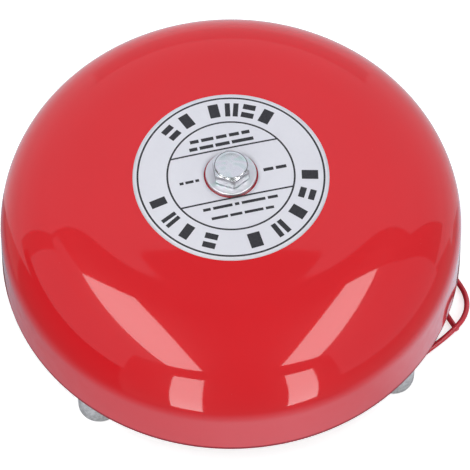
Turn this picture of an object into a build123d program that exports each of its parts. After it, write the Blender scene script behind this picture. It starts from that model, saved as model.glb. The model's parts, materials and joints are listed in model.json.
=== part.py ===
from build123d import *
import math
import os

os.makedirs("parts", exist_ok=True)

# ---------------------------------------------------------------------------
# Electric fire alarm bell, 150 mm gong, solenoid striker.
# Millimetres. Origin: centre of the base's flat back face. +Z runs along the
# gong's axis, away from the wall. The striker works along -X; the leads leave
# on the +X side.
# ---------------------------------------------------------------------------

# gong
RIM_R = 75.0          # outer radius at the rim
RIM_Z = 12.0          # rim height above the back face
GONG_H = 42.9         # rim to crown
SHEET = 1.8           # sheet thickness
SKIRT_R = 74.37       # outer radius where the straight skirt ends
SKIRT_H = 15.27       # height of the skirt above the rim
CROWN_R = 43.22       # radius where the shallow crown meets the shoulder
SHOULDER_H = 26.14    # vertical half-axis of the shoulder
SHOULDER_N = 2.11     # fullness of the shoulder (2 = ellipse)
CROWN_DROP = 1.49     # how far the crown falls from r = FLAT_R to CROWN_R
FLAT_R = 10.0         # flat seat in the middle of the crown
GONG_HOLE_R = 3.3

# label
LABEL_RI, LABEL_RO, LABEL_T = 8.45, 31.05, 0.2

# gong fixing
WASHER_RO, WASHER_RI, WASHER_T = 8.05, 3.2, 1.3
HEX_AF, HEX_H, HEX_CHAMFER_R = 10.8, 4.7, 5.15
BOLT_R = 3.0
BOLT_LEN = 14.2       # shank below the head
SEAT_T = 1.5
PILLAR_R = 8.0

# base casting
BASE_W = 92.0
BASE_CR = 14.0
WALL = 3.0
FLOOR = 3.0
TUB_H = 14.0
BOSS_POS = 47.6       # corner bosses at (+-BOSS_POS, +-BOSS_POS)
BOSS_R = 6.8
BOSS_H = 10.5
FIX_HOLE_R = 2.6      # wall fixing holes
POST_POS = 38.5       # cover screw posts
POST_R = 4.0
SCREW_HOLE_R = 1.55

# cover
GASKET_T = 1.0
COVER_W = 84.0
COVER_CR = 20.0
COVER_T = 2.0
COVER_TOP = 38.5

# striker line
ZC = 23.5             # height of the striker axis
STROKE = 5.2
TIP_X = -67.2         # tip of the striker at rest
ROD_R = 1.6
PLUNGER_R = 4.0
LEG_IN_F, LEG_IN_R = -34.0, -12.0   # inner faces of the yoke's legs

# leads
LEAD_R = 0.9
GROMMET_Y, GROMMET_Z = 24.0, 8.0
LEAD_PITCH = 2.7

NODES = {}


def out(name, shape):
    if not isinstance(shape, Compound) and len(shape.solids()) == 1:
        shape = shape.solids()[0]
    NODES[name] = shape
    export_step(shape, "parts/" + name + ".step")


def rrect(w, h, r, z0, z1):
    return extrude(Plane.XY.offset(z0) * RectangleRounded(w, h, r), amount=z1 - z0)


def box(x0, x1, y0, y1, z0, z1):
    return Pos((x0 + x1) / 2, (y0 + y1) / 2, (z0 + z1) / 2) * Box(x1 - x0, y1 - y0, z1 - z0)


def cyl(x, y, r, z0, z1):
    return Pos(x, y, (z0 + z1) / 2) * Cylinder(r, z1 - z0)


def cylx(y, z, r, x0, x1):
    return Pos((x0 + x1) / 2, y, z) * Rot(0, 90, 0) * Cylinder(r, x1 - x0)


def group(items):
    return Compound(children=[s for i in items for s in i.solids()])


# ---------------------------------------------------------------- gong profile
def crown_z(r):
    """Outer surface height above the rim, for r from the centre to the skirt."""
    if r <= FLAT_R:
        return GONG_H
    if r <= 41.0:
        return GONG_H - CROWN_DROP * (r * r - FLAT_R**2) / (CROWN_R**2 - FLAT_R**2)
    u = min(1.0, max(0.0, (r - CROWN_R) / (SKIRT_R - CROWN_R)))
    return SKIRT_H + SHOULDER_H * (1 - u**SHOULDER_N) ** (1 / SHOULDER_N)


outer_r = [FLAT_R, 18.0, 26.0, 34.0, 40.0, 47.5, 52.0, 57.0, 62.0, 66.0, 69.5, 72.2, 73.8, SKIRT_R]
outer = [(r, RIM_Z + crown_z(r)) for r in outer_r]
skirt_dir = (RIM_R - SKIRT_R, -SKIRT_H)
start_dir = (1.0, -0.016)
curve = Spline(*[(x, 0, z) for x, z in outer],
               tangents=[(start_dir[0], 0, start_dir[1]), (skirt_dir[0], 0, skirt_dir[1])])

# the inner face is the outer one moved in by the sheet's thickness
inner = []
for x, z in outer:
    t = curve.tangent_at(curve.param_at_point(Vector(x, 0, z)))
    n = Vector(t.Z, 0, -t.X).normalized()      # points down and inwards
    inner.append((x + n.X * SHEET, z + n.Z * SHEET))
inner[0] = (FLAT_R, RIM_Z + GONG_H - SHEET)
icurve = Spline(*[(x, 0, z) for x, z in inner],
                tangents=[(start_dir[0], 0, start_dir[1]), (skirt_dir[0], 0, skirt_dir[1])])
rim_in = (RIM_R - SHEET, RIM_Z)
edges = [
    Line((GONG_HOLE_R, 0, RIM_Z + GONG_H), (FLAT_R, 0, RIM_Z + GONG_H)),
    curve,
    Line((SKIRT_R, 0, RIM_Z + SKIRT_H), (RIM_R, 0, RIM_Z)),
    Line((RIM_R, 0, RIM_Z), (rim_in[0], 0, rim_in[1])),
    Line((rim_in[0], 0, rim_in[1]), (inner[-1][0], 0, inner[-1][1])),
    icurve,
    Line((inner[0][0], 0, inner[0][1]), (GONG_HOLE_R, 0, inner[0][1])),
    Line((GONG_HOLE_R, 0, inner[0][1]), (GONG_HOLE_R, 0, RIM_Z + GONG_H)),
]
gong = revolve(make_face(Wire(edges)), axis=Axis.Z, revolution_arc=360)
gong = fillet(gong.edges().filter_by(GeomType.CIRCLE).filter_by(lambda e: abs(e.center().Z - RIM_Z) < 0.01), 0.6)
out("gong", gong)

# label: a ring of film that lies on the crown
lr = [LABEL_RI, 14.0, 20.0, 26.0, LABEL_RO]
ltop = Spline(*[(r, 0, RIM_Z + crown_z(r) + LABEL_T) for r in lr])
p0, p1 = ltop @ 0, ltop @ 1
label = revolve(make_face(Wire([
    ltop,
    Line((p1.X, 0, p1.Z), (p1.X, 0, p1.Z - 1.2)),
    Line((p1.X, 0, p1.Z - 1.2), (p0.X, 0, p0.Z - 1.2)),
    Line((p0.X, 0, p0.Z - 1.2), (p0.X, 0, p0.Z)),
])), axis=Axis.Z, revolution_arc=360)
label = label - gong
label = max(label.solids(), key=lambda s: s.center().Z)
out("gong_label", label)

# ---------------------------------------------------------------- gong fixing
TOP = RIM_Z + GONG_H                       # 54.9
PILLAR_TOP = TOP - SHEET - SEAT_T          # 51.6
HEAD_Z = TOP + WASHER_T

washer = cyl(0, 0, WASHER_RO, TOP, HEAD_Z) - cyl(0, 0, WASHER_RI, TOP - 1, HEAD_Z + 1)
washer = chamfer(washer.edges().filter_by(lambda e: abs(e.center().Z - HEAD_Z) < 0.01 and e.radius > 5), 0.25)
out("flat_washer", washer)

head = extrude(Plane.XY.offset(HEAD_Z) * Rot(0, 0, 34) * RegularPolygon(HEX_AF / 2, 6, major_radius=False), amount=HEX_H)
cone = revolve(make_face(Polyline(
    (0, 0, HEAD_Z - 1), (HEX_CHAMFER_R + (HEX_H + 1) / math.tan(math.radians(30)), 0, HEAD_Z - 1),
    (HEX_CHAMFER_R, 0, HEAD_Z + HEX_H), (0, 0, HEAD_Z + HEX_H), close=True)), axis=Axis.Z)
head = head & cone
shank = cyl(0, 0, BOLT_R, HEAD_Z - BOLT_LEN, HEAD_Z)
shank = chamfer(shank.edges().sort_by(Axis.Z)[0], 0.6)
out("hex_bolt", head + shank)

seat = cyl(0, 0, PILLAR_R, PILLAR_TOP, PILLAR_TOP + SEAT_T) - cyl(0, 0, WASHER_RI, PILLAR_TOP - 1, TOP)
out("seat_washer", seat)

# ---------------------------------------------------------------- base casting
base = rrect(BASE_W, BASE_W, BASE_CR, 0, TUB_H)
base = fillet(base.edges().filter_by(lambda e: abs(e.center().Z) < 0.01), 0.8)
base -= rrect(BASE_W - 2 * WALL, BASE_W - 2 * WALL, BASE_CR - WALL, FLOOR, TUB_H + 1)
base += cyl(0, 0, PILLAR_R, FLOOR - 0.5, PILLAR_TOP)
base += cyl(0, 0, PILLAR_R + 2.5, FLOOR - 0.5, FLOOR + 3.0)
for i in range(4):
    a = math.radians(45 + 90 * i)
    cx, cy = BOSS_POS * math.sqrt(2) * math.cos(a), BOSS_POS * math.sqrt(2) * math.sin(a)
    base += fillet(cyl(cx, cy, BOSS_R, 0, BOSS_H).edges().filter_by(GeomType.CIRCLE), 1.1)
    base += Rot(0, 0, 45 + 90 * i) * box(57.5, 67.3, -5.0, 5.0, 0, 8.0)
    px, py = math.copysign(POST_POS, cx), math.copysign(POST_POS, cy)
    base += cyl(px, py, POST_R, FLOOR - 0.5, TUB_H)
for i in range(4):
    a = math.radians(45 + 90 * i)
    cx, cy = BOSS_POS * math.sqrt(2) * math.cos(a), BOSS_POS * math.sqrt(2) * math.sin(a)
    px, py = math.copysign(POST_POS, cx), math.copysign(POST_POS, cy)
    base -= cyl(cx, cy, FIX_HOLE_R, -1, BOSS_H + 1)
    base -= cyl(px, py, SCREW_HOLE_R, 5.0, TUB_H + 1)
# stiffening ribs from the pillar to the walls
for ang in (90, 270):
    base += Rot(0, 0, ang) * box(9.0, 44.0, -1.0, 1.0, FLOOR - 0.5, FLOOR + 2.5)
# yoke pads
YOKE_Z = 11.0
for y0, y1 in ((-17.5, -11.5), (11.5, 17.5)):
    base += box(-28.0, -20.0, y0, y1, FLOOR - 0.5, YOKE_Z)
for sy in (-1, 1):
    base -= cyl(-24.0, sy * 14.5, SCREW_HOLE_R, 4.0, YOKE_Z + 1)
# circuit board standoffs
BOARD_Z = 8.0
BOARD_SCREWS = ((15.5, -10.5), (33.5, -29.5))
for x, y in BOARD_SCREWS:
    base += cyl(x, y, 3.0, FLOOR - 0.5, BOARD_Z)
for x, y in BOARD_SCREWS:
    base -= cyl(x, y, 1.3, 4.0, BOARD_Z + 1)
# earth point
EX, EY = -28.0, 30.0
base += cyl(EX, EY, 4.2, FLOOR - 0.5, 8.0)
base -= cyl(EX, EY, SCREW_HOLE_R, 4.0, 9.0)
# gong bolt hole
base -= cyl(0, 0, BOLT_R + 0.05, 36.0, PILLAR_TOP + 1)
# cable hole
base -= cylx(GROMMET_Y, GROMMET_Z, 4.2, 40.0, 50.0)
out("base_casting", base)

# ---------------------------------------------------------------- gasket, cover
gasket = rrect(BASE_W, BASE_W, BASE_CR, TUB_H, TUB_H + GASKET_T) - rrect(BASE_W - 2 * WALL, BASE_W - 2 * WALL, BASE_CR - WALL, TUB_H - 1, TUB_H + 2)
for sx in (-1, 1):
    for sy in (-1, 1):
        gasket += cyl(sx * POST_POS, sy * POST_POS, POST_R, TUB_H, TUB_H + GASKET_T)
for sx in (-1, 1):
    for sy in (-1, 1):
        gasket -= cyl(sx * POST_POS, sy * POST_POS, 1.8, TUB_H - 1, TUB_H + 2)
out("cover_gasket", gasket)

CZ = TUB_H + GASKET_T
FLANGE_Z = CZ + 2.0
cover = rrect(BASE_W, BASE_W, BASE_CR, CZ, FLANGE_Z) + rrect(COVER_W, COVER_W, COVER_CR, CZ, COVER_TOP)
cover = fillet(cover.edges().filter_by(lambda e: abs(e.center().Z - COVER_TOP) < 0.01), 3.0)
cavity = rrect(COVER_W - 2 * COVER_T, COVER_W - 2 * COVER_T, COVER_CR - COVER_T, CZ - 1, COVER_TOP - COVER_T)
cavity = fillet(cavity.edges().filter_by(lambda e: abs(e.center().Z - (COVER_TOP - COVER_T)) < 0.01), 1.5)
cover -= cavity
cover -= cyl(0, 0, PILLAR_R + 0.6, COVER_TOP - 5, COVER_TOP + 5)
cover -= cylx(0, ZC, 4.5, -50, -35)
for sx in (-1, 1):
    for sy in (-1, 1):
        cover -= cyl(sx * POST_POS, sy * POST_POS, 1.8, CZ - 1, COVER_TOP + 1)
out("mechanism_cover", cover)


def pan_screw(x, y, z, r, length, head_r, head_h, slot):
    """Cross-slotted pan screw, its head's underside at z."""
    s = cyl(x, y, r, z - length, z)
    h = cyl(x, y, head_r, z, z + head_h)
    h = fillet(h.edges().sort_by(Axis.Z)[-1], min(head_h * 0.45, 0.9))
    s = s + h
    for a in (0, 90):
        s -= Pos(x, y, 0) * Rot(0, 0, a + 20) * box(-slot, slot, -0.28, 0.28, z + head_h * 0.45, z + head_h + 1)
    return s


out("cover_screws", group([pan_screw(sx * POST_POS, sy * POST_POS, FLANGE_Z, 1.5, 9.5, 2.75, 2.0, 1.5)
                           for sx in (-1, 1) for sy in (-1, 1)]))

# ---------------------------------------------------------------- striker guide
bush = cylx(0, ZC, 4.5, -42.0, -38.0) + cylx(0, ZC, 6.0, -44.0, -42.0) + cylx(0, ZC, 6.0, -40.0, -38.0)
bush -= cylx(0, ZC, ROD_R + 0.05, -50, -30)
out("guide_bush", bush)
out("bumper_washer", cylx(0, ZC, 4.0, -45.5, -44.0) - cylx(0, ZC, ROD_R + 0.3, -50, -40))

# ---------------------------------------------------------------- solenoid
yoke = box(LEG_IN_F - 2, LEG_IN_R + 2, -10.5, 10.5, YOKE_Z, YOKE_Z + 2)
yoke += box(-28.0, -20.0, -17.5, 17.5, YOKE_Z, YOKE_Z + 2)
yoke += box(LEG_IN_F - 2, LEG_IN_F, -10.5, 10.5, YOKE_Z, 34.0)
yoke += box(LEG_IN_R, LEG_IN_R + 2, -10.5, 10.5, YOKE_Z, 34.0)
yoke = fillet(yoke.edges().filter_by(Axis.Y).filter_by(lambda e: abs(e.center().Z - YOKE_Z) < 0.01 and (abs(e.center().X - (LEG_IN_F - 2)) < 0.01 or abs(e.center().X - (LEG_IN_R + 2)) < 0.01)), 1.5)
for sy in (-1, 1):
    yoke -= cyl(-24.0, sy * 14.5, 1.7, YOKE_Z - 1, YOKE_Z + 3)
yoke -= cylx(0, ZC, 3.5, -40, -30)
yoke -= cylx(0, ZC, 3.0, -14, -8)
out("yoke_frame", yoke)
out("yoke_bridge", box(LEG_IN_F - 2, LEG_IN_R + 2, -10.5, 10.5, 34.0, 35.5))
out("yoke_screws", group([pan_screw(-24.0, sy * 14.5, YOKE_Z + 2, 1.5, 8.0, 2.6, 1.8, 1.4) for sy in (-1, 1)]))

bobbin = cylx(0, ZC, 5.4, LEG_IN_F, LEG_IN_R) + cylx(0, ZC, 10.2, LEG_IN_F, LEG_IN_F + 1.2) + cylx(0, ZC, 10.2, LEG_IN_R - 1.2, LEG_IN_R)
bobbin -= cylx(0, ZC, 4.45, -40, 0)
out("coil_bobbin", bobbin)
out("coil_winding", cylx(0, ZC, 9.3, LEG_IN_F + 1.25, LEG_IN_R - 1.25) - cylx(0, ZC, 5.45, -40, 0))
out("coil_wrap", cylx(0, ZC, 9.8, LEG_IN_F + 1.3, LEG_IN_R - 1.3) - cylx(0, ZC, 9.35, -40, 0))
out("core_tube", cylx(0, ZC, 4.4, LEG_IN_F, LEG_IN_R) - cylx(0, ZC, 4.1, -40, 0))
out("pole_ring", cylx(0, ZC, 3.45, -36.0, -34.0) + cylx(0, ZC, 5.0, -37.0, -36.0) - cylx(0, ZC, ROD_R + 0.15, -40, -30))
out("rear_bumper", cylx(0, ZC, 2.95, -12.0, -9.6) + cylx(0, ZC, 3.8, -13.2, -12.0))

# moving striker
plunger = cylx(0, ZC, PLUNGER_R, -25.5, -13.5)
plunger = chamfer(plunger.edges().filter_by(GeomType.CIRCLE), 0.4)
plunger -= cylx(0, ZC, ROD_R, -30.0, -19.0)
out("plunger", plunger)
rod = cylx(0, ZC, ROD_R, -64.0, -19.0)
rod -= cylx(0, ZC, ROD_R + 1, -46.6, -45.8) - cylx(0, ZC, 1.2, -50, -40)
out("striker_rod", rod)
tip = cylx(0, ZC, 3.5, TIP_X, -60.0)
tip = fillet(tip.edges().filter_by(GeomType.CIRCLE).sort_by(Axis.X)[0], 2.4)
tip = chamfer(tip.edges().filter_by(GeomType.CIRCLE).sort_by(Axis.X)[-1], 0.6)
tip -= cylx(0, ZC, ROD_R, -64.0, -50.0)
out("striker_tip", tip)
clip = cylx(0, ZC, 3.6, -46.6, -45.8) - cylx(0, ZC, 1.2, -50, -40) - box(-50, -40, -0.9, 0.9, ZC, ZC + 5)
clip -= box(-50, -40, -3.0, -1.9, ZC - 0.8, ZC + 0.8) + box(-50, -40, 1.9, 3.0, ZC - 0.8, ZC + 0.8)
out("retaining_clip", clip)

# return spring, five turns with closed ends
SPR_R, SPR_W, SPR_L, SPR_N = 2.7, 0.22, 8.0, 5
helix = Helix(pitch=SPR_L / SPR_N, height=SPR_L, radius=SPR_R)
hs = helix @ 0
spring = sweep(Plane(hs, z_dir=helix % 0) * Circle(SPR_W), path=helix, is_frenet=True)
spring = Pos(-34.0 + 0.25, 0, ZC) * Rot(0, 90, 0) * spring
out("return_spring", spring)

# ---------------------------------------------------------------- electrics
board = box(12.0, 37.0, -33.0, -7.0, BOARD_Z, BOARD_Z + 1.6)
for x, y in BOARD_SCREWS:
    board -= cyl(x, y, 1.4, BOARD_Z - 1, BOARD_Z + 3)
out("circuit_board", board)
out("board_screws", group([pan_screw(x, y, BOARD_Z + 1.6, 1.25, 5.0, 2.3, 1.5, 1.2) for x, y in BOARD_SCREWS]))
BT = BOARD_Z + 1.6


def axial(x, y, r, length, wire_r=0.3):
    """Component lying along Y with two bent legs."""
    z = BT + r + 0.4
    c = Pos(x, y, z) * Rot(90, 0, 0) * Cylinder(r, length)
    c += Pos(x, y, z) * Rot(90, 0, 0) * Cylinder(wire_r, length + 3.0)
    for s in (-1, 1):
        c += cyl(x, y + s * (length / 2 + 1.5 - wire_r), wire_r, BT, z)
    return c


comps = [axial(x, -15.5, 1.3, 5.0) for x in (20.0, 24.0, 28.0, 32.0)]
comps.append(axial(14.5, -22.0, 1.6, 8.0))
cap = box(18.5, 30.5, -31.0, -24.5, BT, BT + 9.5)
comps.append(fillet(cap.edges().filter_by(Axis.Z), 1.0))
out("board_components", group(comps))

BX0, BX1, BY0, BY1, BTOP = 18.0, 34.0, 16.0, 32.0, 14.0
block = box(BX0, BX1, BY0, BY1, FLOOR, BTOP)
block = chamfer(block.edges().filter_by(lambda e: abs(e.center().Z - BTOP) < 0.01), 0.8)
WELLS = ((27.0, 20.0), (27.0, 28.0))
for x, y in WELLS:
    block -= cyl(x, y, 2.5, 8.9, BTOP + 1)
    block -= cylx(y, GROMMET_Z, 1.3, 24.0, BX1 + 1)
block -= box(BX0 - 1, BX1 + 1, 23.5, 24.5, 10.5, BTOP + 1)
for x in (22.0, 30.0):
    block -= Pos(x, BY0 + 1.5, 7.0) * Rot(90, 0, 0) * Cylinder(0.75, 3.2)
out("terminal_block", block)


def slot_screw(x, y, z0, z1, r):
    s = cyl(x, y, r, z0, z1)
    s = chamfer(s.edges().sort_by(Axis.Z)[-1], 0.3)
    return s - Pos(x, y, 0) * Rot(0, 0, 35) * box(-r - 1, r + 1, -0.35, 0.35, z1 - 1.0, z1 + 1)


out("terminal_screws", group([slot_screw(x, y, 8.95, 13.2, 2.4) for x, y in WELLS]))

gr = cylx(GROMMET_Y, GROMMET_Z, 4.2, 43.0, 46.0)
gr += cylx(GROMMET_Y, GROMMET_Z, 4.95, 41.4, 43.0)
gr += fillet(cylx(GROMMET_Y, GROMMET_Z, 5.6, 46.0, 47.8).edges().filter_by(GeomType.CIRCLE).sort_by(Axis.X)[-1], 0.9)
for s in (-1, 1):
    gr -= cylx(GROMMET_Y + s * LEAD_PITCH / 2, GROMMET_Z, LEAD_R + 0.05, 40, 50)
out("cable_grommet", gr)

out("earth_washer", cyl(EX, EY, 3.8, 8.0, 8.8) - cyl(EX, EY, 1.7, 7, 10))
out("earth_screw", pan_screw(EX, EY, 8.8, 1.5, 4.6, 2.75, 2.0, 1.5))


# ---------------------------------------------------------------- wires
def route(name, pts, r, min_r=None, report=True):
    """Tube along straight runs joined by tangent arcs, each as large as its two
    runs allow: 0.45 of the shorter run over the tangent of half the turn."""
    vs = [Vector(*p) for p in pts]
    radii = []
    for i in range(1, len(vs) - 1):
        a, b = vs[i] - vs[i - 1], vs[i + 1] - vs[i]
        turn = math.radians(a.get_angle(b))
        radii.append(0.45 * min(a.length, b.length) / math.tan(turn / 2))
    path = FilletPolyline(*vs, radius=radii) if len(vs) > 2 else Line(*vs)
    wire = path.wire() if len(vs) > 2 else Wire([path])
    plane = Plane(origin=wire @ 0, z_dir=wire % 0)
    tube = sweep(plane * Circle(r), path=wire)
    solid = tube.solids()[0]
    want = math.pi * r * r * wire.length
    if report:
        print(f"{name}: length {wire.length:.1f}, radii {[round(x, 1) for x in radii]}, "
              f"smallest {min(radii):.1f}, volume {solid.volume:.2f} of {want:.2f}")
    return solid


YA, YB = GROMMET_Y + LEAD_PITCH / 2, GROMMET_Y - LEAD_PITCH / 2
LEAD_X = 47.8
LEAD_A = [
    (LEAD_X, YA, 8.0), (53.5, YA, 8.0), (60.5, 22.8, 6.4), (65.8, 17.0, 3.6),
    (67.6, 9.3, 1.6), (66.6, 1.2, 0.95), (68.6, -6.8, 0.95), (73.0, -13.6, 0.95),
    (75.9, -21.4, 1.2), (74.0, -29.6, 3.0), (68.2, -35.2, 3.0), (61.0, -39.4, 1.3),
    (56.4, -42.2, 0.95),
]
LEAD_B = [
    (LEAD_X, YB, 8.0), (53.0, YB, 8.0), (58.9, 20.6, 6.4), (63.2, 15.6, 3.6),
    (62.6, 8.2, 1.6), (59.8, 0.6, 0.95), (59.6, -7.8, 0.95), (63.2, -16.2, 0.95),
    (67.0, -24.0, 0.95), (69.2, -29.5, 0.95), (71.6, -34.4, 0.95),
]
out("lead_a", route("lead_a", LEAD_A, LEAD_R))
out("lead_b", route("lead_b", LEAD_B, LEAD_R))
out("inner_lead_a", route("inner_lead_a", [(LEAD_X, YA, 8.0), (39.0, YA, 8.0), (36.2, 28.0, 8.0), (29.0, 28.0, 8.0)], LEAD_R))
out("inner_lead_b", route("inner_lead_b", [(LEAD_X, YB, 8.0), (39.0, YB, 8.0), (36.2, 20.0, 8.0), (29.0, 20.0, 8.0)], LEAD_R))
W = 0.6
out("link_lead_1", route("link_lead_1", [(22.0, 18.0, 7.0), (22.0, 10.0, 7.2), (21.6, 2.0, 10.0), (20.6, -5.0, 12.8), (20.1, -9.2, 12.9), (20.0, -10.9, 11.4), (20.0, -10.9, 9.6)], W))
out("link_lead_2", route("link_lead_2", [(30.0, 18.0, 7.0), (30.0, 10.0, 7.2), (29.4, 2.0, 10.0), (28.6, -5.0, 12.8), (28.1, -9.2, 12.9), (28.0, -10.9, 11.4), (28.0, -10.9, 9.6)], W))
out("coil_lead_1", route("coil_lead_1", [(13.4, -14.5, 9.6), (13.4, -14.5, 12.4), (11.2, -14.9, 15.0), (6.0, -16.0, 16.8), (-4.0, -16.5, 17.5), (-12.0, -15.5, 18.5), (-16.5, -13.2, 20.5), (-17.0, -10.2, 22.0)], W))
out("coil_lead_2", route("coil_lead_2", [(13.4, -28.5, 9.6), (13.4, -28.5, 12.0), (11.4, -27.8, 14.2), (6.0, -25.5, 15.4), (-6.0, -22.0, 16.0), (-18.0, -20.0, 17.5), (-25.0, -16.0, 20.0), (-27.0, -10.2, 22.0)], W))

print("nodes", len(NODES))
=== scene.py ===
import json
import math
import bpy
import bmesh
from mathutils import Vector, Matrix


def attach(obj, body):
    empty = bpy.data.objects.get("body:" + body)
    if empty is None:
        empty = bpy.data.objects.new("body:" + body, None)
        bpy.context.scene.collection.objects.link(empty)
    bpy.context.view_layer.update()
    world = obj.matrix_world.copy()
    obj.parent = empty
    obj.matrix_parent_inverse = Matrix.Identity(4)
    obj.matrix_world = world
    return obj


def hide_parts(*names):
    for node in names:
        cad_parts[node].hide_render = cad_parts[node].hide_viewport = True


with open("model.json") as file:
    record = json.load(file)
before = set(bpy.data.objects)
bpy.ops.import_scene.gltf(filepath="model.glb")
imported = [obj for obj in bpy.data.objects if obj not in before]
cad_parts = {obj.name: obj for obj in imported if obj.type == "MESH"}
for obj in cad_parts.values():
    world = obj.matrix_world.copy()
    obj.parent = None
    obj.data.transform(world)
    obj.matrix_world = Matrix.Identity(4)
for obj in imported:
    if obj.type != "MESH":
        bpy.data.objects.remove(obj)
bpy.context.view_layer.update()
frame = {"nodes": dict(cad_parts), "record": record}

MM = 0.001
scene = bpy.context.scene
NODES = frame["nodes"]

# ------------------------------------------------------------------ sizes, mm
RIM_Z, GONG_H, RIM_R, SHEET = 12.0, 42.9, 75.0, 1.8
SKIRT_R, SKIRT_H, CROWN_R, SHOULDER_H, SHOULDER_N = 74.37, 15.27, 43.22, 26.14, 2.11
FLAT_R, CROWN_DROP, GONG_HOLE_R = 10.0, 1.49, 3.3
LABEL_RI, LABEL_RO, LABEL_T = 8.62, 31.05, 0.2
TOP = RIM_Z + GONG_H


# ------------------------------------------------------------------ camera
def make_camera():
    dist, elev, azim = 924.3, math.radians(58.12), math.radians(-6.1)
    look = Vector((0, 0, RIM_Z + GONG_H / 2))
    back = Vector((math.sin(azim) * math.cos(elev), -math.cos(azim) * math.cos(elev), math.sin(elev)))
    pos = look + back * dist
    right = Vector((math.cos(azim), math.sin(azim), 0))
    up = right.cross(-back)
    f = 2875.4
    aim = look + right * (4.0 / f * dist) - up * (24.0 / f * dist)
    cam = bpy.data.objects.new("camera", bpy.data.cameras.new("camera"))
    scene.collection.objects.link(cam)
    cam.data.sensor_width = 36.0
    cam.data.lens = f / 470.0 * 36.0
    cam.location = pos * MM
    z = (pos - aim).normalized()
    x = right - z * right.dot(z)
    x.normalize()
    y = z.cross(x)
    cam.rotation_mode = "QUATERNION"
    cam.rotation_quaternion = Matrix((x, y, z)).transposed().to_quaternion()
    cam.data.clip_start, cam.data.clip_end = 0.01, 20.0
    scene.camera = cam
    return cam


make_camera()


# ------------------------------------------------------------------ free cords
LEAD_A = [(47.8, 25.35, 8.0), (53.5, 25.35, 8.0), (60.5, 22.8, 6.4), (65.8, 17.0, 3.6), (67.6, 9.3, 1.6),
          (66.6, 1.2, 0.95), (68.6, -6.8, 0.95), (73.0, -13.6, 0.95), (75.9, -21.4, 1.2), (74.0, -29.6, 3.0),
          (68.2, -35.2, 3.0), (61.0, -39.4, 1.3), (56.4, -42.2, 0.95)]
LEAD_B = [(47.8, 22.65, 8.0), (53.0, 22.65, 8.0), (58.9, 20.6, 6.4), (63.2, 15.6, 3.6), (62.6, 8.2, 1.6),
          (59.8, 0.6, 0.95), (59.6, -7.8, 0.95), (63.2, -16.2, 0.95), (66.8, -23.6, 0.95), (68.7, -28.8, 0.95),
          (70.7, -33.2, 0.95)]


def lead(name, route, node):
    cu = bpy.data.curves.new(name, "CURVE")
    cu.dimensions = "3D"
    sp = cu.splines.new("NURBS")
    sp.points.add(len(route) - 1)
    for p, c in zip(sp.points, route):
        p.co = (c[0] * MM, c[1] * MM, c[2] * MM, 1.0)
        p.radius = 0.001
    sp.order_u = 3
    sp.use_endpoint_u = True
    sp.resolution_u = 16
    cu.bevel_depth = 0.9
    cu.bevel_resolution = 8
    cu.use_fill_caps = True
    o = bpy.data.objects.new(name, cu)
    scene.collection.objects.link(o)
    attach(o, "base")
    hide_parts(node)
    return o


lead_a = lead("flying_lead_a", LEAD_A, "lead_a")
lead_b = lead("flying_lead_b", LEAD_B, "lead_b")


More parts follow.
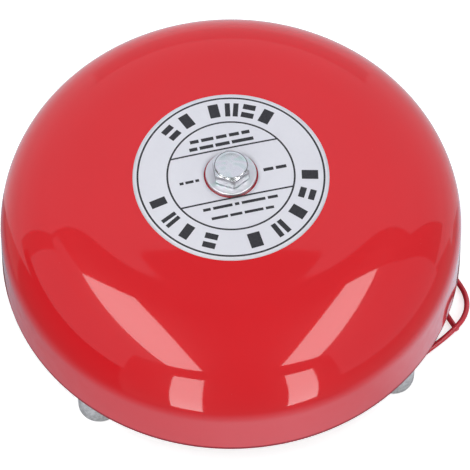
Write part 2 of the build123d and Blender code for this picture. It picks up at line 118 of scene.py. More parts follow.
# ------------------------------------------------------------------ materials
class Mat:
    """Small helper around a Principled material's node tree."""

    def __init__(self, name):
        self.m = bpy.data.materials.new(name)
        self.m.use_nodes = True
        self.t = self.m.node_tree
        self.b = self.t.nodes["Principled BSDF"]
        self.coord = self.t.nodes.new("ShaderNodeTexCoord")

    def set(self, **kw):
        for k, v in kw.items():
            self.b.inputs[k.replace("_", " ")].default_value = v
        return self

    def node(self, kind, **kw):
        n = self.t.nodes.new(kind)
        for k, v in kw.items():
            if k in n.inputs:
                n.inputs[k].default_value = v
            elif k.replace("_", " ") in n.inputs:
                n.inputs[k.replace("_", " ")].default_value = v
            else:
                setattr(n, k, v)
        return n

    def link(self, a, b):
        self.t.links.new(a, b)

    def mapped(self, scale=(1, 1, 1), rot=(0, 0, 0)):
        n = self.t.nodes.new("ShaderNodeMapping")
        n.inputs["Scale"].default_value = scale
        n.inputs["Rotation"].default_value = rot
        self.link(self.coord.outputs["Object"], n.inputs["Vector"])
        return n.outputs["Vector"]

    def noise(self, scale, detail=3.0, rough=0.55, vec=None, distortion=0.0):
        n = self.node("ShaderNodeTexNoise", Scale=scale, Detail=detail, Roughness=rough, Distortion=distortion)
        self.link(vec if vec is not None else self.coord.outputs["Object"], n.inputs["Vector"])
        return n.outputs["Fac"]

    def voronoi(self, scale, feature="F1", vec=None):
        n = self.node("ShaderNodeTexVoronoi", feature=feature)
        n.inputs["Scale"].default_value = scale
        self.link(vec if vec is not None else self.coord.outputs["Object"], n.inputs["Vector"])
        return n.outputs["Distance"]

    def ramp(self, fac, stops):
        n = self.t.nodes.new("ShaderNodeValToRGB")
        e = n.color_ramp.elements
        while len(e) < len(stops):
            e.new(0.5)
        for el, (p, c) in zip(e, stops):
            el.position = p
            el.color = c if len(c) == 4 else (*c, 1)
        self.link(fac, n.inputs["Fac"])
        return n.outputs["Color"]

    def maprange(self, fac, a, b, c, d):
        n = self.t.nodes.new("ShaderNodeMapRange")
        for i, v in zip(("From Min", "From Max", "To Min", "To Max"), (a, b, c, d)):
            n.inputs[i].default_value = v
        self.link(fac, n.inputs["Value"])
        return n.outputs["Result"]

    def math(self, op, a, b=None, clamp=False):
        n = self.t.nodes.new("ShaderNodeMath")
        n.operation = op
        n.use_clamp = clamp
        for i, v in enumerate((a, b)):
            if v is None:
                continue
            if isinstance(v, (int, float)):
                n.inputs[i].default_value = v
            else:
                self.link(v, n.inputs[i])
        return n.outputs[0]

    def mix(self, fac, a, b, blend="MIX"):
        n = self.t.nodes.new("ShaderNodeMix")
        n.data_type = "RGBA"
        n.blend_type = blend
        for sock, v in ((n.inputs[0], fac), (n.inputs[6], a), (n.inputs[7], b)):
            if isinstance(v, (int, float)):
                sock.default_value = v
            elif isinstance(v, tuple):
                sock.default_value = v if len(v) == 4 else (*v, 1)
            else:
                self.link(v, sock)
        return n.outputs[2]

    def base(self, col):
        self.link(col, self.b.inputs["Base Color"])
        return self

    def rough(self, fac):
        self.link(fac, self.b.inputs["Roughness"])
        return self

    def bump(self, layers, coat=False):
        """layers: (height socket, distance in metres, strength)"""
        normal = None
        for h, dist, strength in layers:
            n = self.t.nodes.new("ShaderNodeBump")
            n.inputs["Distance"].default_value = dist
            n.inputs["Strength"].default_value = strength
            self.link(h, n.inputs["Height"])
            if normal is not None:
                self.link(normal, n.inputs["Normal"])
            normal = n.outputs["Normal"]
        self.link(normal, self.b.inputs["Normal"])
        if coat:
            self.link(normal, self.b.inputs["Coat Normal"])
        return self


def red_paint():
    k = Mat("gong_red_paint")
    k.set(IOR=1.5, Specular_IOR_Level=0.07, Coat_Weight=1.0, Coat_Roughness=0.045, Coat_IOR=1.5)
    big = k.noise(14.0, 2.0, 0.5)
    small = k.noise(260.0, 2.0, 0.5)
    col = k.ramp(big, [(0.3, (0.760, 0.0052, 0.0120)), (0.7, (0.800, 0.0066, 0.0145))])
    speck = k.voronoi(420.0)
    dots = k.maprange(speck, 0.0, 0.045, 1.0, 0.0)
    rare = k.maprange(k.noise(90.0, 0.0), 0.66, 0.70, 0.0, 1.0)
    dust = k.math("MULTIPLY", dots, rare, clamp=True)
    # painted shade: the paint is darkened round the washer's seat and on the turned rim, where shade falls, and the
    # rim's coat is thinned there
    pos = k.node("ShaderNodeSeparateXYZ")
    k.link(k.coord.outputs["Object"], pos.inputs[0])
    flat = k.node("ShaderNodeVectorMath", operation="MULTIPLY")
    flat.inputs[1].default_value = (1, 1, 0)
    k.link(k.coord.outputs["Object"], flat.inputs[0])
    away = k.node("ShaderNodeVectorMath", operation="LENGTH")
    k.link(flat.outputs["Vector"], away.inputs[0])
    seat_shade = k.maprange(away.outputs["Value"], 0.0088, 0.0092, 0.80, 0.0)
    rim = k.maprange(pos.outputs["Z"], (RIM_Z + 1.30) / 1000, (RIM_Z + 1.65) / 1000, 0.80, 0.0)
    k.link(k.maprange(pos.outputs["Z"], (RIM_Z + 1.30) / 1000, (RIM_Z + 1.65) / 1000, 0.12, 1.0), k.b.inputs["Coat Weight"])
    # mix in the painted shade colour over the seat and rim masks
    col = k.mix(k.math("MAXIMUM", seat_shade, rim), col, (0.24, 0.004, 0.018))
    k.base(k.mix(dust, col, (0.75, 0.20, 0.20)))
    k.rough(k.maprange(small, 0.3, 0.7, 0.30, 0.38))
    peel = k.noise(330.0, 1.0, 0.4)
    k.bump([(peel, 0.00002, 0.07), (dust, 0.00005, 0.3)], coat=True)
    return k.m


def label_film():
    k = Mat("label_white_film")
    k.set(IOR=1.46)
    fibre = k.noise(900.0, 3.0, 0.6)
    wide = k.noise(35.0, 2.0, 0.5)
    col = k.ramp(wide, [(0.35, (0.785, 0.780, 0.835)), (0.65, (0.815, 0.810, 0.860))])
    k.base(k.mix(k.maprange(fibre, 0.4, 0.8, 0.0, 0.08), col, (0.62, 0.62, 0.68)))
    k.rough(k.maprange(fibre, 0.3, 0.7, 0.42, 0.55))
    k.bump([(fibre, 0.00001, 0.12)])
    return k.m


def ink():
    k = Mat("label_black_ink")
    k.set(IOR=1.45)
    n = k.noise(1500.0, 2.0, 0.6)
    k.base(k.ramp(n, [(0.3, (0.012, 0.012, 0.016)), (0.75, (0.032, 0.031, 0.038))]))
    k.rough(k.maprange(n, 0.3, 0.7, 0.35, 0.55))
    k.bump([(n, 0.000008, 0.2)])
    return k.m


def zinc(name="bright_zinc", tint=True, lo=0.15, hi=0.25, gain=1.0):
    k = Mat(name)
    k.set(Metallic=1.0)
    n1 = k.noise(180.0, 3.0, 0.55)
    n2 = k.noise(1400.0, 2.0, 0.6)
    if tint:
        col = k.ramp(k.noise(240.0, 1.0, 0.5, distortion=0.6), [
            (0.30, (0.74, 0.80, 0.80)), (0.45, (0.83, 0.84, 0.85)), (0.58, (0.82, 0.80, 0.84)), (0.72, (0.72, 0.83, 0.80))])
    else:
        col = k.ramp(n1, [(0.3, (0.70, 0.71, 0.73)), (0.7, (0.82, 0.82, 0.83))])
    k.base(k.mix(1.0, col, (gain, gain, gain * 1.02), "MULTIPLY"))
    k.rough(k.maprange(n1, 0.3, 0.75, lo, hi))
    k.bump([(n2, 0.00001, 0.15), (n1, 0.00003, 0.10)])
    return k.m


def cast_aluminium():
    k = Mat("cast_aluminium")
    k.set(Metallic=0.35, IOR=1.6)
    big = k.noise(60.0, 4.0, 0.6)
    grain = k.noise(1500.0, 4.0, 0.7)
    mottle = k.noise(900.0, 3.0, 0.6)
    pits = k.voronoi(900.0)
    stain = k.noise(25.0, 5.0, 0.65, distortion=0.4)
    col = k.ramp(big, [(0.3, (0.74, 0.75, 0.77)), (0.55, (0.82, 0.83, 0.85)), (0.75, (0.86, 0.87, 0.89))])
    col = k.mix(k.maprange(mottle, 0.38, 0.62, 0.60, 0.0), col, (0.42, 0.43, 0.45))
    col = k.mix(k.maprange(stain, 0.55, 0.78, 0.0, 0.35), col, (0.34, 0.33, 0.33))
    k.base(col)
    k.rough(k.maprange(grain, 0.3, 0.75, 0.42, 0.62))
    k.bump([(k.maprange(pits, 0.0, 0.35, 0.0, 1.0), 0.00008, 0.25), (grain, 0.00008, 0.5)])
    return k.m


def plastic(name, lo, hi, rough=(0.35, 0.5), tex=1200.0, strength=0.25, coat=0.0, dist=0.00002):
    k = Mat(name)
    k.set(IOR=1.48, Coat_Weight=coat, Coat_Roughness=0.15)
    a = k.noise(tex, 2.0, 0.6)
    b = k.noise(40.0, 3.0, 0.5)
    k.base(k.ramp(b, [(0.3, lo), (0.7, hi)]))
    k.rough(k.maprange(a, 0.3, 0.7, *rough))
    k.bump([(a, dist, strength)])
    return k.m


def wire_pvc(name, lo, hi):
    k = Mat(name)
    k.set(IOR=1.5, Coat_Weight=0.25, Coat_Roughness=0.12)
    a = k.noise(700.0, 2.0, 0.6)
    b = k.noise(120.0, 2.0, 0.5)
    k.base(k.ramp(b, [(0.3, lo), (0.7, hi)]))
    k.rough(k.maprange(a, 0.3, 0.7, 0.28, 0.42))
    k.bump([(a, 0.00003, 0.2)])
    return k.m


def metal(name, lo, hi, rough=(0.25, 0.4), scale=(1, 1, 1), tex=500.0, strength=0.2):
    k = Mat(name)
    k.set(Metallic=1.0)
    v = k.mapped(scale)
    a = k.noise(tex, 3.0, 0.6, vec=v)
    b = k.noise(60.0, 3.0, 0.5)
    k.base(k.ramp(b, [(0.3, lo), (0.7, hi)]))
    k.rough(k.maprange(a, 0.3, 0.7, *rough))
    k.bump([(a, 0.00002, strength)])
    return k.m


def winding():
    k = Mat("enamelled_copper")
    k.set(Metallic=0.9, Coat_Weight=0.5, Coat_Roughness=0.1)
    w = k.node("ShaderNodeTexWave", wave_type="BANDS", bands_direction="X", wave_profile="SIN")
    w.inputs["Scale"].default_value = 900.0
    w.inputs["Distortion"].default_value = 0.6
    k.link(k.coord.outputs["Object"], w.inputs["Vector"])
    f = w.outputs["Fac"]
    k.base(k.ramp(f, [(0.0, (0.20, 0.05, 0.02)), (0.5, (0.55, 0.19, 0.07)), (1.0, (0.72, 0.30, 0.12))]))
    k.rough(k.maprange(f, 0, 1, 0.45, 0.22))
    k.bump([(f, 0.0002, 0.8)])
    return k.m


M = {
    "paint": red_paint(),
    "label": label_film(),
    "washer_zinc": zinc("washer_zinc", lo=0.32, hi=0.44, gain=0.98),
    # painted shade: darker copies of the zinc for the bolt's wrench flats and for the groove round its top
    "flats_shade": zinc("flats_shade_zinc", lo=0.31, hi=0.43, gain=0.50),
    "groove_shade": zinc("groove_shade_zinc", tint=False, lo=0.5, hi=0.7, gain=0.22),
    "ink": ink(),
    "zinc": zinc(),
    "zinc_plain": zinc("zinc_hardware", tint=False),
    "cast": cast_aluminium(),
    "rubber": plastic("black_rubber", (0.012, 0.012, 0.013), (0.028, 0.028, 0.030), (0.55, 0.75), 900.0, 0.4),
    "fibre": plastic("red_fibre", (0.23, 0.05, 0.03), (0.33, 0.08, 0.05), (0.5, 0.7), 600.0, 0.5),
    "cover": plastic("cover_plastic", (0.016, 0.016, 0.018), (0.026, 0.026, 0.029), (0.36, 0.50), 1500.0, 0.45, dist=0.00005),
    "steel": metal("machined_steel", (0.46, 0.47, 0.49), (0.62, 0.63, 0.65), (0.22, 0.38), (1, 12, 12)),
    "nylon": plastic("natural_nylon", (0.70, 0.67, 0.58), (0.80, 0.78, 0.71), (0.4, 0.55), 900.0, 0.2),
    "copper": winding(),
    "tape": plastic("polyester_tape", (0.60, 0.38, 0.03), (0.78, 0.54, 0.08), (0.18, 0.3), 300.0, 0.15, coat=0.4),
    "brass": metal("brass", (0.62, 0.44, 0.16), (0.78, 0.60, 0.27), (0.2, 0.35)),
    "pcb": plastic("green_circuit_board", (0.010, 0.12, 0.035), (0.020, 0.19, 0.06), (0.2, 0.35), 1400.0, 0.3, coat=0.3),
    "component": plastic("moulded_component", (0.02, 0.018, 0.018), (0.07, 0.05, 0.04), (0.25, 0.4), 900.0, 0.2),
    "terminal": plastic("terminal_plastic", (0.66, 0.66, 0.61), (0.76, 0.76, 0.71), (0.35, 0.5), 900.0, 0.2),
    "wire_red": wire_pvc("red_pvc", (0.62, 0.014, 0.032), (0.72, 0.022, 0.042)),
    "wire_blue": wire_pvc("blue_pvc", (0.02, 0.06, 0.30), (0.035, 0.09, 0.40)),
}

SLOT_MAT = {
    "gong_paint": "paint", "label_film": "label", "zinc_plate": "zinc_plain", "cast_aluminium": "cast",
    "rubber_black": "rubber", "fibre": "fibre", "cover_plastic": "cover", "steel": "steel", "nylon": "nylon",
    "copper": "copper", "tape": "tape", "brass": "brass", "pcb": "pcb", "component": "component",
    "terminal_plastic": "terminal", "pvc_red": "wire_red", "pvc_blue": "wire_blue",
}
for sp in frame["record"]["subparts"]:
    o = NODES[sp["node"]]
    m = M[SLOT_MAT[sp["material_slot"]]]
    if not o.material_slots:
        o.data.materials.append(m)
    for s in o.material_slots:
        s.material = m


for o in (lead_a, lead_b):
    o.data.materials.append(M["wire_red"])


# ------------------------------------------------------------------ mesh tools
def smooth(o, angle=None):
    for p in o.data.polygons:
        p.use_smooth = True
    return o


def new_mesh(name, verts, faces, mat, body, slot=None, replaces=(), do_smooth=True):
    me = bpy.data.meshes.new(name)
    me.from_pydata([tuple(c * MM for c in v) for v in verts], [], faces)
    me.validate()
    bm = bmesh.new()
    bm.from_mesh(me)
    bmesh.ops.recalc_face_normals(bm, faces=bm.faces)
    bm.to_mesh(me)
    bm.free()
    o = bpy.data.objects.new(name, me)
    scene.collection.objects.link(o)
    me.materials.append(mat)
    if do_smooth:
        smooth(o)
    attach(o, body)
    if replaces:
        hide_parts(*replaces)
    return o


def lathe(name, loop, segs, mat, body, **kw):
    """Closed ring of revolution: loop is a closed list of (r, z), none on the axis."""
    verts, faces = [], []
    n = len(loop)
    for i in range(segs):
        a = 2 * math.pi * i / segs
        c, s = math.cos(a), math.sin(a)
        verts += [(r * c, r * s, z) for r, z in loop]
    for i in range(segs):
        j = (i + 1) % segs
        for k in range(n):
            m = (k + 1) % n
            faces.append((i * n + k, j * n + k, j * n + m, i * n + m))
    return new_mesh(name, verts, faces, mat, body, **kw)


# ------------------------------------------------------------------ gong shape
def shoulder(t):
    """Point on the shoulder, t from 0 (crown side) to pi/2 (skirt side)."""
    r = CROWN_R + (SKIRT_R - CROWN_R) * math.sin(t) ** (2 / SHOULDER_N)
    z = RIM_Z + SKIRT_H + SHOULDER_H * math.cos(t) ** (2 / SHOULDER_N)
    return r, z


def crown(r):
    return TOP - CROWN_DROP * (r * r - FLAT_R**2) / (CROWN_R**2 - FLAT_R**2)


def crown_slope(r):
    return -2 * CROWN_DROP * r / (CROWN_R**2 - FLAT_R**2)


def surf(r):
    """Height of the gong's outer face over the crown, for what lies on it."""
    return TOP if r <= FLAT_R else crown(r)


def gong_outer():
    pts = [(GONG_HOLE_R + 0.15, TOP), (6.0, TOP), (8.0, TOP), (9.2, TOP)]
    pts += [(r, crown(r)) for r in (10.8, 12.5, 15, 18, 21, 24, 27, 30, 33, 36, 38.5)]
    # from the crown into the shoulder on one smooth curve
    t0 = None
    for i in range(1, 400):
        t = math.pi / 2 * i / 400
        if shoulder(t)[0] >= 47.5:
            t0 = t
            break
    r0, z0, m0 = 40.0, crown(40.0), crown_slope(40.0)
    r1, z1 = shoulder(t0)
    ra, za = shoulder(t0 + 1e-3)
    m1 = (za - z1) / (ra - r1)
    for i in range(6):
        s = i / 6
        h = r1 - r0
        z = ((2 * s**3 - 3 * s**2 + 1) * z0 + (s**3 - 2 * s**2 + s) * h * m0
             + (-2 * s**3 + 3 * s**2) * z1 + (s**3 - s**2) * h * m1)
        pts.append((r0 + s * h, z))
    n = 44
    for i in range(n + 1):
        t = t0 + (math.pi / 2 - 0.02 - t0) * i / n
        pts.append(shoulder(t))
    zs = pts[-1][1]
    for z in (26.0, 23.0, 20.0, 17.0, 14.5, 13.2, RIM_Z + 0.62):
        if z < zs - 0.3:
            pts.append((SKIRT_R + (RIM_R - SKIRT_R) * (RIM_Z + SKIRT_H - z) / SKIRT_H, z))
    return pts


def offset(pts, d):
    out = []
    for i, (r, z) in enumerate(pts):
        a, b = pts[max(0, i - 1)], pts[min(len(pts) - 1, i + 1)]
        tx, tz = b[0] - a[0], b[1] - a[1]
        ln = math.hypot(tx, tz)
        out.append((r + tz / ln * d, z - tx / ln * d))
    return out


def build_gong():
    outer = gong_outer()
    inner = offset(outer, SHEET)
    inner[0] = (GONG_HOLE_R + 0.15, TOP - SHEET)
    ro, ri = outer[-1][0], inner[-1][0]
    f = 0.6
    rim = []
    for i in range(1, 6):
        a = math.pi / 2 * i / 6
        rim.append((ro - f + f * math.cos(a), RIM_Z + f - f * math.sin(a)))
    rim.append((ro - f, RIM_Z))
    rim.append((ri + f, RIM_Z))
    for i in range(1, 6):
        a = math.pi / 2 * i / 6
        rim.append((ri + f - f * math.sin(a), RIM_Z + f - f * math.cos(a)))
    hole = [(GONG_HOLE_R, TOP - SHEET + 0.15), (GONG_HOLE_R, TOP - 0.15)]
    loop = outer + rim + inner[::-1] + hole
    g = lathe("gong_shell", loop, 288, M["paint"], "gong", slot="gong_paint", replaces=["gong"])
    return g


build_gong()


# ------------------------------------------------------------------ label
def film(name, ri, ro, lift, thick, mat, segs=240, rings=14, edge=0.04, replaces=()):
    """Ring of film that follows the crown; its faces are lift-thick and lift above it."""
    loop = []
    for i in range(rings + 1):
        r = ri + (ro - ri) * i / rings
        e = edge if i in (0, rings) else 0.0
        loop.append((r, surf(r) + lift - e))
    loop += [(ro, surf(ro) + lift - thick), (ri, surf(ri) + lift - thick)]
    full = loop[:rings + 1]
    low = [(r, surf(r) + lift - thick) for r, z in reversed(full)]
    return lathe(name, full + low, segs, mat, "gong", slot="label_film", replaces=replaces)


film("label_disc", LABEL_RI, LABEL_RO, LABEL_T, LABEL_T - 0.005, M["label"], replaces=["gong_label"])
film("label_outer_line", 29.18, 29.78, LABEL_T + 0.02, 0.06, M["ink"], rings=2, edge=0)
film("label_inner_line", 19.80, 20.38, LABEL_T + 0.02, 0.06, M["ink"], rings=2, edge=0)


def patch(outline_fn, nu, nv):
    """Grid patch of printing: outline_fn(u, v) gives x, y in mm for u, v in 0..1.
    Returns verts and faces of a thin closed slab that follows the crown."""
    verts, faces = [], []
    top, bot = LABEL_T + 0.02, LABEL_T - 0.04
    for lift in (top, bot):
        for j in range(nv + 1):
            for i in range(nu + 1):
                x, y = outline_fn(i / nu, j / nv)
                verts.append((x, y, surf(math.hypot(x, y)) + lift))
    w = nu + 1
    base = w * (nv + 1)
    for j in range(nv):
        for i in range(nu):
            a = j * w + i
            faces.append((a, a + 1, a + w + 1, a + w))
            faces.append((base + a, base + a + w, base + a + w + 1, base + a + 1))
    ring = [i for i in range(nu)] + [j * w + nu for j in range(nv)] + [nv * w + i for i in range(nu, 0, -1)] + [j * w for j in range(nv, 0, -1)]
    for k in range(len(ring)):
        a, b = ring[k], ring[(k + 1) % len(ring)]
        faces.append((a, base + a, base + b, b))
    return verts, faces


class Print:
    def __init__(self):
        self.v, self.f = [], []

    def add(self, vf):
        o = len(self.v)
        self.v += vf[0]
        self.f += [tuple(i + o for i in f) for f in vf[1]]

    def ring_bar(self, ang, width, r0, r1, nu=5, nv=4):
        """Bar across the ring: ang degrees, width mm at mid radius, from r0 to r1."""
        def fn(u, v):
            r = r0 + (r1 - r0) * v
            x = (u - 0.5) * width
            c, s = math.cos(math.radians(ang)), math.sin(math.radians(ang))
            return r * c - x * s, r * s + x * c
        self.add(patch(fn, nu, nv))

    def arc_bar(self, a0, a1, r0, r1):
        n = max(3, int(abs(a1 - a0) / 2) + 1)

        def fn(u, v):
            a = math.radians(a0 + (a1 - a0) * u)
            r = r0 + (r1 - r0) * v
            return r * math.cos(a), r * math.sin(a)
        self.add(patch(fn, n, 3))

    def bar(self, cx, cy, length, height, ang, skew=0.0):
        c, s = math.cos(math.radians(ang)), math.sin(math.radians(ang))

        def fn(u, v):
            x = (u - 0.5) * length + (v - 0.5) * skew
            y = (v - 0.5) * height
            return cx + x * c - y * s, cy + x * s + y * c
        self.add(patch(fn, max(2, int(length / 1.5) + 1), 2))


# The camera sees the label turned by AX in the row frame
AX = -6.1


def cam_xy(x, y):
    """From the camera's ground axes to the row frame."""
    c, s = math.cos(math.radians(AX)), math.sin(math.radians(AX))
    return x * c - y * s, x * s + y * c


# Bold generic blocks round the ring: (azimuth seen by the camera, width mm, shape)
RING_MARKS = [
    (0.9, 4.6, "bar"), (-15.6, 4.4, "split"), (-32.5, 4.8, "bar"), (-51.3, 4.9, "pair"), (-72.2, 5.6, "bar"),
    (-105.0, 4.8, "split"), (-123.6, 4.2, "bar"), (-138.9, 3.9, "pair"), (-156.0, 3.9, "bar"),
    (63.4, 4.9, "bar"), (77.2, 4.7, "split"), (89.6, 4.8, "pair"), (102.6, 4.6, "bar"),
    (124.5, 4.8, "bar"), (139.7, 4.7, "split"),
]


def printing():
    p = Print()
    r0, r1 = 22.3, 27.5
    for ang, w, kind in RING_MARKS:
        a = ang + AX
        if kind == "bar":
            p.ring_bar(a, w * 0.72, r0, r1)
        elif kind == "split":
            p.ring_bar(a, w * 0.86, r0, r0 + 2.0)
            p.ring_bar(a, w * 0.86, r1 - 2.0, r1)
        else:
            half = math.degrees(w * 0.27 / 24.9)
            p.ring_bar(a - half, w * 0.34, r0, r1)
            p.ring_bar(a + half, w * 0.34, r0, r1)
    # the two straight lines across the middle
    d = math.radians(13.3)
    for off in (10.0, -8.5):
        half = math.sqrt(20.1**2 - off**2)
        cx, cy = cam_xy(-math.sin(d) * off, math.cos(d) * off)
        p.bar(cx, cy, 2 * half, 0.56, 13.3 + AX)
    # rows of short dashes in place of the small print: (along, across, [lengths], gap, height)
    rows = [
        (-0.3, 11.95, [2.6, 4.4, 4.6, 7.0], 0.75, 1.25),
        (-0.2, 14.75, [2.8, 4.0, 3.4, 3.2, 2.6], 0.85, 1.25),
        (0.5, -10.9, [2.4, 6.2, 1.4, 7.6, 3.2], 0.8, 1.0),
        (0.4, -14.5, [5.2, 3.8, 6.0, 2.6], 0.8, 0.95),
        (14.1, -0.6, [3.2, 3.4], 0.8, 1.15),
        (-13.4, 0.3, [1.3, 2.6, 1.2], 0.6, 0.95),
    ]
    for along, across, lens, gap, h in rows:
        total = sum(lens) + gap * (len(lens) - 1)
        x = along - total / 2
        for ln in lens:
            u = x + ln / 2
            cx, cy = cam_xy(u * math.cos(d) - across * math.sin(d), u * math.sin(d) + across * math.cos(d))
            p.bar(cx, cy, ln, h, 13.3 + AX)
            x += ln + gap
    new_mesh("label_printing", p.v, p.f, M["ink"], "gong", slot="label_film", do_smooth=False)


printing()


# ------------------------------------------------------------------ washer and bolt
def build_washer():
    z0, z1, ri, ro, c = 54.9, 56.2, 3.2, 8.05, 0.28
    loop = [(ri, z0 + 0.12), (ri + 0.12, z0), (ro - 0.10, z0)]
    loop += [(ro, z0 + 0.12), (ro, z1 - c)]
    for i in range(1, 7):
        a = math.pi / 2 * i / 6
        loop.append((ro - c + c * math.cos(a), z1 - c + c * math.sin(a)))
    loop += [(ro - 1.0, z1 + 0.0), (ri + 0.3, z1), (ri + 0.12, z1), (ri, z1 - 0.12)]
    o = lathe("washer_plated", loop, 160, M["washer_zinc"], "bolt_washer", slot="zinc_plate", replaces=["flat_washer"])
    o.data.set_sharp_from_angle(angle=math.radians(35))


build_washer()
HEX_TURN = math.radians(4)      # corners at 34, 94 ... 334 degrees, as on the CAD bolt


def build_bolt():
    af, z0, z1, rt = 5.4, 56.2, 60.9, 5.15
    segs = 240
    verts, faces = [], []
    rings = []

    def ring(fn):
        idx = []
        for i in range(segs):
            a = 2 * math.pi * i / segs
            r, z = fn(a)
            idx.append(len(verts))
            verts.append((r * math.cos(a + HEX_TURN), r * math.sin(a + HEX_TURN), z))
        rings.append(idx)

    def hexr(a):
        b = (a + math.pi / 6) % (math.pi / 3) - math.pi / 6
        # corners (at a = 30 degrees and so on) are slightly rounded
        r = af / math.cos(b)
        lim = af / math.cos(math.pi / 6) - 0.10
        return r if r < lim - 0.06 else min(r, lim - 0.06 + (r - lim + 0.06) * 0.4)

    def edge(a, inset=0.0):
        r = hexr(a) - inset
        return r, z1 - 0.12 - max(0.0, r - rt) * math.tan(math.radians(30))

    # underside, washer face, sides, chamfer, top with a shallow dish
    ring(lambda a: (3.0, z0 + 0.02))
    ring(lambda a: (4.95, z0 + 0.02))
    ring(lambda a: (5.05, z0 + 0.08))
    ring(lambda a: (5.1, z0 + 0.32))
    ring(lambda a: (hexr(a) - 0.12, z0 + 0.34))
    ring(lambda a: (hexr(a), z0 + 0.46))
    ring(lambda a: (hexr(a), (z0 + 0.46) * 0.5 + edge(a)[1] * 0.5))
    ring(lambda a: (edge(a)[0], edge(a)[1] - 0.10))
    ring(lambda a: (edge(a)[0] - 0.05, edge(a)[1] - 0.0))
    ring(lambda a: (min(rt + 0.10, edge(a)[0] - 0.06), z1 - 0.18))
    ring(lambda a: (rt - 0.05, z1 - 0.24))
    ring(lambda a: (rt - 0.10, z1 - 0.15))
    ring(lambda a: (rt - 0.16, z1 - 0.06))
    ring(lambda a: (rt - 0.28, z1 - 0.012))
    ring(lambda a: (rt - 0.46, z1))
    ring(lambda a: (rt - 0.72, z1))
    ring(lambda a: (4.0, z1 - 0.05))
    ring(lambda a: (3.0, z1 - 0.10))
    ring(lambda a: (1.5, z1 - 0.12))
    ring(lambda a: (0.5, z1 - 0.125))
    for a, b in zip(rings, rings[1:]):
        for i in range(segs):
            j = (i + 1) % segs
            faces.append((a[i], a[j], b[j], b[i]))
    faces.append(tuple(rings[-1]))
    # threaded shank, a real helix, M6 x 1
    shank = []
    pitch, z_end = 1.0, 42.0
    steps = 24
    zs = [z0 + 0.02 - 0.0]
    n = int((z0 - z_end) * 10)
    prev = rings[0]
    for k in range(1, n + 1):
        z = z0 - (z0 - z_end) * k / n
        idx = []
        for i in range(segs):
            a = 2 * math.pi * i / segs
            ph = (z / pitch - a / (2 * math.pi)) % 1.0
            tri = abs(ph - 0.5) * 2
            depth = 0.55 * min(1.0, max(0.0, tri * 1.15 - 0.08))
            fade = min(1.0, max(0.0, (z0 - 1.2 - z) / 0.8))
            endc = max(0.0, z_end + 0.8 - z) * 0.7
            r = 3.0 - depth * fade - endc
            idx.append(len(verts))
            verts.append((r * math.cos(a + HEX_TURN), r * math.sin(a + HEX_TURN), z))
        for i in range(segs):
            j = (i + 1) % segs
            faces.append((idx[i], idx[j], prev[j], prev[i]))
        prev = idx
    faces.append(tuple(reversed(prev)))
    o = new_mesh("bolt_plated", verts, faces, M["zinc"], "bolt", slot="zinc_plate", replaces=["hex_bolt"])
    o.data.set_sharp_from_angle(angle=math.radians(28))
    # painted shade: a darker, rougher copy of the zinc on the wrench flats, and a much darker copy in the groove round
    # the top
    me = o.data
    me.materials.append(M["flats_shade"])
    me.materials.append(M["groove_shade"])
    unit = max(v.co.z for v in me.vertices) / z1
    for p in me.polygons:
        c = p.center / unit
        r = math.hypot(c.x, c.y)
        if z0 < c.z < z1 - 0.3 and r > 5.0 and abs(p.normal.z) < 0.4:
            p.material_index = 1
        elif rt - 0.09 < r < rt + 0.12 and c.z > z1 - 0.26:
            p.material_index = 2


build_bolt()


# ------------------------------------------------------------------ floor and light
def staged_plane(name, size, z, mat, seg=1):
    me = bpy.data.meshes.new(name)
    h = size / 2
    me.from_pydata([(-h, -h, z), (h, -h, z), (h, h, z), (-h, h, z)], [], [(0, 1, 2, 3)])
    o = bpy.data.objects.new(name, me)
    scene.collection.objects.link(o)
    me.materials.append(mat)
    return o


def floor_material():
    k = Mat("pale_floor")
    n = k.noise(6.0, 2.0)
    k.base(k.ramp(n, [(0.3, (0.86, 0.86, 0.86)), (0.7, (0.88, 0.88, 0.88))]))
    k.set(Roughness=0.9, Emission_Color=(1, 1, 1, 1), Emission_Strength=FLOOR_GLOW)
    k.b.inputs["Specular IOR Level"].default_value = 0.1
    # seen from below, the floor is clear, so that the underside shows
    geo = k.node("ShaderNodeNewGeometry")
    clear = k.node("ShaderNodeBsdfTransparent")
    either = k.node("ShaderNodeMixShader")
    out = next(n for n in k.t.nodes if n.type == "OUTPUT_MATERIAL")
    k.link(geo.outputs["Backfacing"], either.inputs[0])
    k.link(k.b.outputs[0], either.inputs[1])
    k.link(clear.outputs[0], either.inputs[2])
    k.link(either.outputs[0], out.inputs["Surface"])
    return k.m


FLOOR_GLOW = 0.66
WORLD = 0.30
RADIANCE = 5.3
SOFT = 3.0          # the same softboxes as the diffuse light sees them

floor = staged_plane("floor", 8.0, -0.0002, floor_material())
floor.visible_glossy = False
floor.visible_diffuse = False


def emitter(name, strength, color=(1, 1, 1)):
    m = bpy.data.materials.new(name)
    m.use_nodes = True
    t = m.node_tree
    t.nodes.clear()
    out = t.nodes.new("ShaderNodeOutputMaterial")
    em = t.nodes.new("ShaderNodeEmission")
    em.inputs["Color"].default_value = (*color, 1)
    if isinstance(strength, (int, float)):
        em.inputs["Strength"].default_value = strength
    else:
        # falls from one radius (metres) to another: (r0, s0, r1, s1)
        co = t.nodes.new("ShaderNodeTexCoord")
        ln = t.nodes.new("ShaderNodeVectorMath")
        ln.operation = "LENGTH"
        mr = t.nodes.new("ShaderNodeMapRange")
        for k, v in zip(("From Min", "To Min", "From Max", "To Max"), strength):
            mr.inputs[k].default_value = v
        t.links.new(co.outputs["Object"], ln.inputs[0])
        t.links.new(ln.outputs["Value"], mr.inputs["Value"])
        t.links.new(mr.outputs["Result"], em.inputs["Strength"])
    t.links.new(em.outputs[0], out.inputs[0])
    return m


def light_only(o, glossy=True, diffuse=False):
    o.visible_camera = False
    o.visible_shadow = False
    o.visible_glossy = glossy
    o.visible_diffuse = diffuse
    o.visible_transmission = False


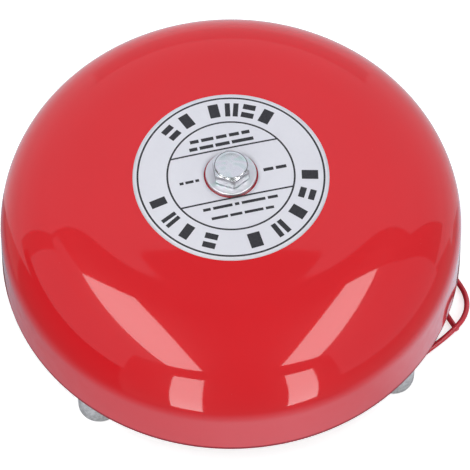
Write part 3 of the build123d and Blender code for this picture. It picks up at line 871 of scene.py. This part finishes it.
def table_ring(name, r0, r1, z, mat, glossy=True):
    """Lit table top round the bell, seen only in reflections."""
    n = 128
    vs = [(r * math.cos(2 * math.pi * i / n), r * math.sin(2 * math.pi * i / n), z) for r in (r0, r1) for i in range(n)]
    me = bpy.data.meshes.new(name)
    me.from_pydata(vs, [], [(i, (i + 1) % n, n + (i + 1) % n, n + i) for i in range(n)])
    o = bpy.data.objects.new(name, me)
    scene.collection.objects.link(o)
    me.materials.append(mat)
    light_only(o, glossy=glossy, diffuse=not glossy)


TINT = (0.95, 0.99, 1.13)
def directional(mat):
    """The table is dimmer on the object's left, so scale the glow across it."""
    t = mat.node_tree
    em = t.nodes["Emission"]
    src = em.inputs["Strength"].links[0].from_socket
    co = t.nodes.new("ShaderNodeTexCoord")
    sx = t.nodes.new("ShaderNodeSeparateXYZ")
    mr = t.nodes.new("ShaderNodeMapRange")
    mr.inputs["From Min"].default_value = -0.085
    mr.inputs["From Max"].default_value = 0.085
    cr = t.nodes.new("ShaderNodeValToRGB")
    e = cr.color_ramp.elements
    e[0].position, e[0].color = 0.0, (0.34, 0.34, 0.34, 1)
    e[1].position, e[1].color = 1.0, (0.72, 0.72, 0.72, 1)
    m1 = e.new(0.45)
    m1.color = (1, 1, 1, 1)
    m2 = e.new(0.60)
    m2.color = (1, 1, 1, 1)
    m3 = e.new(0.80)
    m3.color = (0.66, 0.66, 0.66, 1)
    m4 = e.new(0.89)
    m4.color = (0.80, 0.80, 0.80, 1)
    mu = t.nodes.new("ShaderNodeMath")
    mu.operation = "MULTIPLY"
    t.links.new(co.outputs["Object"], sx.inputs[0])
    t.links.new(sx.outputs["X"], mr.inputs["Value"])
    t.links.new(mr.outputs["Result"], cr.inputs["Fac"])
    t.links.new(cr.outputs["Color"], mu.inputs[0])
    t.links.new(src, mu.inputs[1])
    t.links.new(mu.outputs[0], em.inputs["Strength"])
    return mat


table_ring("table_near", 0.078, 0.119, -0.0006, directional(emitter("table_near", (0.093, 1.00, 0.119, 0.32), TINT)))
# painted shade: a dim sheet under the bell, seen only in reflections, stands in for the shadowed table there
table_ring("table_under_shade", 0.001, 0.078, -0.0006, emitter("table_under_shade", 0.08))
table_ring("table_fill", 0.001, 3.0, -0.0005, emitter("table_fill", (0.058, 0.16, 0.105, 0.86)), glossy=False)


def cam_frame(x, y, z):
    """From the frame of the camera (metres, z from the rim) to the row frame."""
    a = math.radians(AX)
    return Vector((x * math.cos(a) - y * math.sin(a), x * math.sin(a) + y * math.cos(a), z + 0.012))


def panel(name, corners, glossy, diffuse=0.0, color=(1, 1, 1)):
    """Flat softbox as a light-emitting sheet; corners in the camera's frame."""
    for kind, strength in (("shine", glossy), ("fill", diffuse)):
        if strength <= 0:
            continue
        me = bpy.data.meshes.new(name + "_" + kind)
        me.from_pydata([tuple(cam_frame(*c)) for c in corners], [], [tuple(range(len(corners)))])
        me.materials.append(emitter(name + "_" + kind, strength, color))
        o = bpy.data.objects.new(name + "_" + kind, me)
        scene.collection.objects.link(o)
        light_only(o, glossy=kind == "shine", diffuse=kind == "fill")


panel("softbox_top_left", [(-0.72, -1.35, 1.0), (-0.30, -1.35, 1.0), (-0.30, 0.12, 1.0), (-0.72, 0.12, 1.0)], RADIANCE, SOFT)
panel("softbox_top_right", [(0.50, -1.20, 1.0), (0.98, -1.20, 1.0), (0.63, 0.18, 1.0), (0.36, 0.18, 1.0)], RADIANCE, SOFT)
panel("softbox_front_left", [(-0.43, -1.0, -0.60), (-0.19, -1.0, -0.60), (-0.19, -1.0, 0.45), (-0.43, -1.0, 0.45)], RADIANCE, 1.7)
panel("softbox_front_right", [(0.40, -1.0, -0.58), (0.66, -1.0, -0.58), (0.66, -1.0, 0.47), (0.40, -1.0, 0.47)], RADIANCE, 1.7)
# the pale tent behind and above, and its two sides
COOL = (0.97, 1.0, 1.08)
panel("tent_top", [(-1.2, 0.45, 1.02), (1.2, 0.45, 1.02), (1.2, 2.6, 1.02), (-1.2, 2.6, 1.02)], 0.78, 1.1, COOL)
panel("tent_back", [(-1.2, 2.6, -0.3), (1.2, 2.6, -0.3), (1.2, 2.6, 1.02), (-1.2, 2.6, 1.02)], 0.52, 0.55, COOL)
panel("tent_left", [(-1.2, 0.30, -0.2), (-1.2, 2.6, -0.2), (-1.2, 2.6, 1.02), (-1.2, 0.45, 1.02)], 0.74, 0.7, COOL)
panel("tent_right", [(1.2, 0.45, -0.6), (1.2, 2.6, -0.6), (1.2, 2.6, 1.02), (1.2, 0.45, 1.02)], 0.74, 0.7, COOL)
panel("tent_floor", [(-1.2, 0.03, -0.0124), (1.2, 0.03, -0.0124), (1.2, 2.6, -0.0124), (-1.2, 2.6, -0.0124)], 0.66, 0, COOL)
# dim reflectors beside the lights
panel("side_left", [(-1.2, -1.3, 0.16), (-1.2, 0.16, 0.16), (-1.2, 0.30, 1.01), (-1.2, -1.3, 1.01)], 0.70, 0.4, COOL)
panel("side_right", [(1.2, -1.3, -0.2), (1.2, 0.12, -0.2), (1.2, 0.20, 1.01), (1.2, -1.3, 1.01)], 0.62, 0.4, COOL)
panel("roof_left", [(-1.2, -1.3, 1.01), (-0.72, -1.35, 1.01), (-0.72, 0.16, 1.01), (-0.95, 0.40, 1.01), (-1.2, 0.40, 1.01)], 0.62, 0, COOL)
panel("roof_right", [(0.98, -1.20, 1.01), (1.2, -1.3, 1.01), (1.2, 0.20, 1.01), (0.63, 0.18, 1.01)], 0.55, 0, COOL)
panel("dark_left", [(-1.25, -1.3, -1.2), (-1.25, 0.25, -1.2), (-1.25, 0.25, 0.16), (-1.25, -1.3, 0.16)], 0.12, 0)

world = bpy.data.worlds.new("studio")
scene.world = world
world.use_nodes = True
world.node_tree.nodes["Background"].inputs["Color"].default_value = (1, 1, 1, 1)
world.node_tree.nodes["Background"].inputs["Strength"].default_value = WORLD

scene.view_settings.view_transform = "Standard"
scene.view_settings.look = "None"

bpy.context.view_layer.update()
